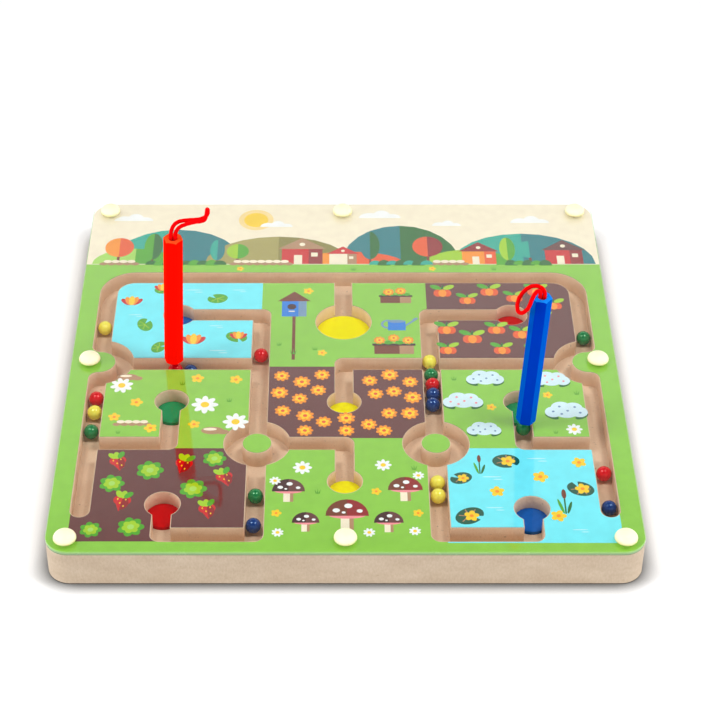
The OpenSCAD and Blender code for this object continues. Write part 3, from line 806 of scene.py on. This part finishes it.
# picture strip at the back: hills, trees and cottages under a cream sky
stripFoot = 90
stripMotifs = [
    ([("disc", 21, 21, 0, 0, 0, "halo"), ("disc", 14.5, 14.5, 0, 0, 0, "yellow")], -52, 134, 1, 0, 0),
    (cloud(24), -126, 133, 1, 0, 3), (cloud(20), -40, 127, 1, 0, 3), (cloud(26), 22, 136, 1, 0, 3),
    (cloud(18), 62, 128, 1, 0, 3), (cloud(24), 112, 131, 1, 0, 3),
    (hill(78, 34, "tealLight", "teal"), -98, stripFoot, 1, 0, 0),
    (hill(86, 27, "olive", "oliveDark"), -38, stripFoot, 1, 0, 3),
    (hill(70, 38, "teal", "leafDark"), 34, stripFoot, 1, 0, 5),
    (hill(84, 30, "tealLight", "teal"), 106, stripFoot, 1, 0, 7),
    (hill(50, 15, "grassLight", "leaf"), -122, stripFoot, 1, 0, 9),
    (hill(64, 12, "orange", "orangeDeep"), 4, stripFoot, 1, 0, 9),
    (hill(52, 14, "leafLight", "leaf"), 74, stripFoot, 1, 0, 9),
    (roundTree(17, "orange", "orangeDeep"), -132, stripFoot, 1, 0, 12),
    (poplar(30, "leaf", "leafDark"), -112, stripFoot, 1, 0, 12),
    (poplar(24, "tealLight", "teal"), -74, stripFoot, 1, 0, 12),
    (roundTree(13, "leafLight", "leaf"), -62, stripFoot, 1, 0, 12),
    (cottage(24, "red", "redDark", "brownLight"), -24, stripFoot, 1, 0, 12),
    (cottage(16, "cream", "brownLight", "red"), 0, stripFoot, 1, 0, 12),
    (poplar(32, "teal", "leafDark"), 16, stripFoot, 1, 0, 12),
    (roundTree(18, "orangeDeep", "redDark"), 50, stripFoot, 1, 0, 12),
    (cottage(20, "orange", "orangeDeep", "redDark"), 80, stripFoot, 1, 0, 12),
    (poplar(26, "leafLight", "leaf"), 97, stripFoot, 1, 0, 12),
    (roundTree(15, "tealLight", "teal"), 110, stripFoot, 1, 0, 12),
    (cottage(22, "red", "redDark", "soil"), 130, stripFoot, 1, 0, 12),
    (hedge(9, "leafDark", "leaf"), -92, stripFoot - 1, 1, 0, 19),
    (hedge(7, "tealLight", "leafDark"), 34, stripFoot - 1, 1, 0, 19),
    (hedge(6, "leaf", "leafDark"), 106, stripFoot - 1, 1, 0, 19),
    (stoneWall(5), -131, stripFoot, 1, 0, 19), (stoneWall(8), -48, stripFoot, 1, 0, 19),
    (stoneWall(5), 62, stripFoot, 1, 0, 19), (tuft, -104, 85.6, 1, 0, 0), (tuft, 6, 85.4, 1, 0, 0),
    (tuft, 88, 85.6, 1, 0, 0), (buttercup, -60, 85.4, 0.8, 0, 0), (buttercup, 52, 85.4, 0.8, 0, 0)]
layPicture("printStrip", stripMotifs)

# ponds: pads, blossoms and reeds
padBright = lilyPad("leaf", "leafLight")
padDeep = lilyPad("pad", "brownLight")
pondMotifs = [
    (padBright, -103, 66, 0.9, 20, 0), (lotus, -104, 66, 0.8, 0, 8), (padBright, -72, 57, 0.9, 190, 0),
    (lotus, -121, 53, 1, 0, 8), (ripple, -86, 65, 1, 0, 0), (ripple, -60, 65, 0.8, 0, 0),
    (padBright, -112, 33, 0.9, 110, 0), (ripple, -118, 42, 0.8, 0, 0), (lotus, -84, 18, 1.1, 0, 8),
    (padBright, -60, 22, 0.95, -20, 0), (lotus, -59, 22, 0.8, 0, 8), (padBright, -103, 13, 0.8, 60, 0),
    (ripple, -70, 10, 1, 0, 0), (ripple, -72, 32, 0.8, 0, 0), (ripple, -96, 24, 0.8, 0, 0),
    (padDeep, 84, -81, 1.1, 0, 0), (padDeep, 121, -102, 1.1, 160, 0), (padDeep, 63, -122, 1.2, 30, 0),
    (padDeep, 60, -94, 0.9, 200, 0), (buttercup, 85, -81, 1.4, 0, 8), (buttercup, 122, -102, 1.4, 30, 8),
    (buttercup, 64, -122, 1.4, 10, 8), (buttercup, 101, -93, 1.5, 0, 0), (buttercup, 78, -104, 1.4, 20, 0),
    (buttercup, 108, -122, 1.5, 0, 0), (buttercup, 122, -82, 1.4, 40, 0), (buttercup, 61, -94, 1.1, 0, 8),
    (cattail, 112, -112, 1, 0, 10), (cattail, 70, -84, 0.8, 0, 10), (ripple, 100, -79, 1, 0, 0),
    (ripple, 76, -93, 1, 0, 0), (ripple, 118, -132, 0.8, 0, 0), (ripple, 76, -116, 0.9, 0, 0)]
layPicture("printPonds", pondMotifs)

# beds: pumpkins at the back, marigolds in the middle, berries and cabbages in front
marigoldTurn = 17  # from one to the next
bedMotifs = [(pumpkin, x, y, s, 0, 0) for x, y, s in (
    (57, 62, 1.1), (71, 55, 1), (84, 63, 1.1), (98, 57, 1), (111, 63, 1.1), (120, 50, 1), (112, 38, 1),
    (58, 28, 1.1), (72, 20, 1.15), (86, 28, 1.05), (58, 10, 1), (100, 24, 1.1), (88, 10, 1), (106, 9, 0.9))]
bedMotifs += [(marigold, x, y, s, marigoldTurn * i, 0) for i, (x, y, s) in enumerate((
    (-34, -12, 1), (-23, -17, 1.1), (-12, -11, 1), (14, -16, 1), (25, -11, 1.1), (36, -17, 1),
    (-35, -26, 1.1), (-24, -31, 1), (-14, -24, 1), (17, -27, 1), (27, -25, 1), (37, -30, 1.1),
    (-33, -41, 1), (-21, -45, 1.1), (-11, -50, 1), (1, -47, 1.1), (13, -52, 1), (24, -43, 1),
    (35, -43, 1.1), (-21, -57, 1), (1, -57, 1), (21, -57, 1)))]
bedMotifs += [(berry, x, y, s, t, 0) for x, y, s, t in (
    (-118, -82, 1.05, 12), (-84, -84, 1.1, -14), (-62, -94, 1.05, 18), (-114, -112, 1.1, -10),
    (-70, -118, 1.05, 8))]
bedMotifs += [(cabbage, x, y, s, 0, 0) for x, y, s in (
    (-101, -88, 1.15), (-68, -79, 1), (-120, -98, 1.05), (-78, -102, 1.15), (-108, -130, 1.1),
    (-128, -132, 0.9))]
layPicture("printBeds", bedMotifs)

# meadows: flowers, toadstools, a birdhouse and planters
blueBush = blossomBush("blueGrey")
peachBush = blossomBush("pink")
brownCap = toadstool("brown", "redDark")
darkCap = toadstool("soilDark", "soil")
meadowMotifs = [
    (stone, -70, -57, 1.1, 0, 0), (daisy, -58, -50, 1.1, 0, 6), (buttercup, -112, -34, 1.3, 0, 0),
    (buttercup, -123, -46, 1.2, 20, 0), (buttercup, -103, -55, 1.3, 40, 6), (stone, -118, -13, 1, 0, 0),
    (daisy, -121, -20, 1, 15, 6), (daisy, -75, -36, 1.15, 0, 0), (buttercup, -80, -14, 1.3, 10, 0),
    (buttercup, -59, -15, 1.3, 0, 0), (buttercup, -80, -52, 1.2, 30, 0), (tuft, -88, -18, 1, 0, 0),
    (tuft, -62, -32, 1, 0, 0), (tuft, -120, -58, 0.8, 0, 0), (stoneWall(5), -113, -52, 0.9, 0, 0),
    (blueBush, 77, -14, 0.9, 0, 0), (peachBush, 64, -33, 0.95, 0, 0), (blueBush, 119, -41, 1, 0, 0),
    (peachBush, 113, -15, 0.9, 0, 0), (blueBush, 74, -56, 0.8, 0, 0), (tuft, 60, -14, 1, 0, 0),
    (tuft, 112, -58, 0.8, 0, 0), (tuft, 126, -26, 1, 0, 0), (buttercup, 79, -38, 1, 0, 0),
    (daisy, 122, -56, 0.7, 0, 0), (buttercup, 110, -28, 1, 0, 0),
    (planter, 28, 11, 1, 0, 0), (planter, 30, 56, 0.8, 0, 0), (wateringCan, 30, 32, 0.9, 0, 0),
    (birdhouse, -28, 36, 1, 0, 0), (tuft, -28, 9, 1.2, 0, 0), (tuft, -16, 12, 1, 0, 0),
    (buttercup, -20, 64, 1.1, 0, 0), (tuft, -36, 16, 1, 0, 0), (buttercup, -12, 8, 1, 0, 0),
    (brownCap, 1, -122, 1.1, 0, 0), (darkCap, -29, -104, 0.85, 0, 0), (brownCap, 31, -103, 0.9, 0, 0),
    (darkCap, -20, -127, 0.7, 0, 0), (darkCap, 22, -127, 0.75, 0, 0), (daisy, -22, -86, 0.8, 0, 0),
    (daisy, 20, -84, 0.7, 0, 0), (buttercup, -35, -120, 1, 0, 0), (buttercup, 37, -120, 1, 0, 0),
    (buttercup, 16, -104, 1, 0, 0), (tuft, -14, -104, 1, 0, 0), (tuft, 36, -86, 1, 0, 0)]
meadowMotifs += [(marigold, x, y, 0.75, 0, 12) for x, y in ((20, 19), (28, 21), (36, 19), (26, 63), (33, 64))]
meadowMotifs += [(daisy, x, y, 0.5, 20, 0) for x, y in (
    (-36, -96), (-34, -134), (12, -134), (35, -133), (38, -92))]
layPicture("printMeadows", meadowMotifs)
for shape in unitShapes.values():
    bpy.data.objects.remove(shape)


# clear cover: polished faces, and a rim where the sheet is cut, greyish below with the print's green painted
# in above
coverSetup = {
    "bevel": 0.3, "top": 22, "topBand": 0.1, "sideBelow": 0.5, "faceFrom": 0.9,
    "tint": (0.985, 0.99, 0.985, 1), "mirrorIor": 1.25, "polish": (0.012, 0.028), "polishSpot": 9,
    # the rim's upper colour is a painted view of the print's green through the cut edge
    "rimLow": (0.21, 0.29, 0.19), "rimPrintGreen": (0.3, 0.58, 0.13), "rimFrom": 20.2, "rimTo": 22,
    "rimWander": 0.06, "rimSpot": 8, "rimRoughness": 0.25}


def backSide(tree):
    return tree.nodes.new("ShaderNodeNewGeometry").outputs["Backfacing"]


def clearFinish():
    # clear, with a faint mirror on the outside only
    finish, tree, shader = newFinish("clearCover")
    tree.nodes.remove(shader)
    clear = tree.nodes.new("ShaderNodeBsdfTransparent")
    clear.inputs["Color"].default_value = coverSetup["tint"]
    mirror = tree.nodes.new("ShaderNodeBsdfGlossy")
    polish = addSpan(tree, addNoise(tree, coverSetup["polishSpot"]), noiseSpan, coverSetup["polish"])
    tree.links.new(polish, mirror.inputs["Roughness"])
    strength = tree.nodes.new("ShaderNodeFresnel")
    strength.inputs["IOR"].default_value = coverSetup["mirrorIor"]
    outside = addMath(tree, "SUBTRACT", 1, backSide(tree))
    share = addMath(tree, "MULTIPLY", strength.outputs["Fac"], outside)
    showMix(tree, share, clear.outputs["BSDF"], mirror.outputs["BSDF"])
    return finish


def rimFinish():
    # cut edge: greyish below and green above, a painted view of the print through the edge, and clear from
    # inside
    finish = paint("coverRim", coverSetup["rimLow"], coverSetup["rimWander"], coverSetup["rimSpot"],
                   coverSetup["rimRoughness"])
    tree = finish.node_tree
    shader = tree.nodes["Principled BSDF"]
    rise = addRise(tree, coverSetup["rimFrom"], coverSetup["rimTo"])
    tone = addRamp(tree, rise, (0, 1), coverSetup["rimLow"], coverSetup["rimPrintGreen"])
    tree.links.new(tone, shader.inputs["Base Color"])
    clear = tree.nodes.new("ShaderNodeBsdfTransparent")
    showMix(tree, backSide(tree), shader.outputs["BSDF"], clear.outputs["BSDF"])
    return finish


coverSheet = sheetCopy("coverSheet", nodes["cover"])
bpy.ops.object.mode_set(mode="EDIT")
bpy.ops.mesh.select_all(action="DESELECT")
bpy.ops.mesh.select_mode(type="EDGE")
bpy.ops.object.mode_set(mode="OBJECT")
sideFaces = [face for face in coverSheet.data.polygons if abs(face.normal.z) < coverSetup["sideBelow"]]
sideEdges = {key for face in sideFaces for key in face.edge_keys}
for edge in coverSheet.data.edges:
    heights = [coverSheet.data.vertices[i].co.z for i in edge.vertices]
    edge.select = edge.key in sideEdges and min(heights) > (coverSetup["top"] - coverSetup["topBand"]) * mm
bpy.ops.object.mode_set(mode="EDIT")
bpy.ops.mesh.bevel(offset=coverSetup["bevel"] * mm, segments=1)
bpy.ops.object.mode_set(mode="OBJECT")
coverSheet.data.materials.append(clearFinish())
coverSheet.data.materials.append(rimFinish())
for face in coverSheet.data.polygons:
    face.material_index = 0 if abs(face.normal.z) > coverSetup["faceFrom"] else 1
bpy.ops.object.shade_flat()
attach(coverSheet, "board")
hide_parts("cover")
print("cover has", len(coverSheet.data.polygons), "faces")

# stage: white floor that keeps the shadow and has a painted contact shadow, lamps, and a pale surround that
# reaches higher behind the board
stageSetup = {
    "floorSize": 9, "floorDrop": 0.5, "floorColour": 0.95, "paintedShadowReach": 10, "paintedShadowDepth": 2.35,
    "floorLift": 0.12, "farReach": (0.8, 2.2),
    "frontSky": [(0.45, 0.95), (0.6, 0.32), (0.64, 0.2), (0.69, 0.04)],
    "backSky": [(0.45, 0.95), (0.6, 0.95), (0.64, 0.85), (0.69, 0.5), (0.73, 0.1)],
    "skyTurn": (0.1, 0.45),
    "boxes": [(-0.47, -0.12, 1.09), (0.47, -0.12, 1.09)], "boxSize": 0.3, "boxPowers": (4.6, 5.6),
    "edges": [(-1.3, -0.35, 0.22), (1.3, -0.35, 0.22)], "edgeSize": 0.5, "edgePowers": (8.5, 5.0),
    "fill": (0.5, -1.2, 0.3), "fillSize": 0.6, "fillPower": 3.4}


def floorFinish():
    # white, with a painted contact shadow from ambient occlusion close to the board, and a glow seen by
    # camera and mirror rays that lifts it to the white of the surround far away
    finish, tree, shader = newFinish("whiteFloor")
    tree.nodes.remove(shader)
    path = tree.nodes.new("ShaderNodeLightPath")
    # ambient occlusion darkens the floor colour near the board: painted contact shadow
    shadowOcclusion = tree.nodes.new("ShaderNodeAmbientOcclusion")
    shadowOcclusion.inputs["Distance"].default_value = stageSetup["paintedShadowReach"] * mm
    depth = addMath(tree, "POWER", shadowOcclusion.outputs["AO"], stageSetup["paintedShadowDepth"])
    shade = tree.nodes.new("ShaderNodeMix")
    shade.inputs["A"].default_value = 1
    tree.links.new(path.outputs["Is Camera Ray"], shade.inputs["Factor"])
    tree.links.new(depth, shade.inputs["B"])
    matte = tree.nodes.new("ShaderNodeBsdfDiffuse")
    tone = addRamp(tree, shade.outputs["Result"], (0, 1), black, [stageSetup["floorColour"]] * 3)
    tree.links.new(tone, matte.inputs["Color"])
    seen = path.outputs["Is Camera Ray"]
    for ray in ("Is Glossy Ray", "Is Transmission Ray"):
        seen = addMath(tree, "MAXIMUM", seen, path.outputs[ray])
    away = addLength(tree, objectPlace(tree))
    lift = addSpan(tree, away, stageSetup["farReach"], (stageSetup["floorLift"], 1))
    strength = addMath(tree, "MULTIPLY", addMath(tree, "MULTIPLY", seen, depth), lift)
    glow = tree.nodes.new("ShaderNodeEmission")
    tree.links.new(strength, glow.inputs["Strength"])
    both = tree.nodes.new("ShaderNodeAddShader")
    tree.links.new(matte.outputs["BSDF"], both.inputs[0])
    tree.links.new(glow.outputs["Emission"], both.inputs[1])
    tree.links.new(both.outputs["Shader"], tree.nodes["Material Output"].inputs["Surface"])
    return finish


def addSky(tree, height, stops):
    # stops: height and brightness, from low to high
    sky = tree.nodes.new("ShaderNodeValToRGB")
    tree.links.new(height, sky.inputs["Fac"])
    sky.color_ramp.elements.remove(sky.color_ramp.elements[1])
    for i, (position, strength) in enumerate(stops):
        stop = sky.color_ramp.elements.new(position) if i else sky.color_ramp.elements[0]
        stop.position = position
        stop.color = (strength, strength, strength, 1)
    return sky.outputs["Color"]


def makeSurround():
    world = bpy.data.worlds.new("studio")
    bpy.context.scene.world = world
    world.use_nodes = True
    tree = world.node_tree
    direction = tree.nodes.new("ShaderNodeSeparateXYZ")
    tree.links.new(tree.nodes.new("ShaderNodeTexCoord").outputs["Generated"], direction.inputs["Vector"])
    front = addSky(tree, direction.outputs["Z"], stageSetup["frontSky"])
    back = addSky(tree, direction.outputs["Z"], stageSetup["backSky"])
    behind = addSpan(tree, direction.outputs["Y"], stageSetup["skyTurn"])
    tree.links.new(addMix(tree, behind, front, back), tree.nodes["Background"].inputs["Color"])


def addLamp(name, place, size, power, mirrored):
    # square lamp that points at the middle of the board
    aim = Vector((0, 0, 0)) - Vector(place)
    bpy.ops.object.light_add(type="AREA", location=place, rotation=aim.to_track_quat("-Z", "Y").to_euler())
    lamp = bpy.context.object
    lamp.name = name
    lamp.data.shape = "SQUARE"
    lamp.data.size = size
    lamp.data.energy = power
    lamp.visible_glossy = mirrored


bpy.ops.object.select_all(action="DESELECT")
bpy.ops.mesh.primitive_plane_add(size=stageSetup["floorSize"], location=(0, 0, -stageSetup["floorDrop"] * mm))
floor = bpy.context.object
floor.name = "floor"
floor.data.materials.append(floorFinish())
makeSurround()
for side, place, power in zip(("left", "right"), stageSetup["boxes"], stageSetup["boxPowers"]):
    addLamp(side + "Box", place, stageSetup["boxSize"], power, mirrored=True)
for side, place, power in zip(("left", "right"), stageSetup["edges"], stageSetup["edgePowers"]):
    addLamp(side + "Edge", place, stageSetup["edgeSize"], power, mirrored=False)
addLamp("frontFill", stageSetup["fill"], stageSetup["fillSize"], stageSetup["fillPower"], mirrored=False)
bpy.context.scene.view_settings.view_transform = "Standard"
print("stage ready")
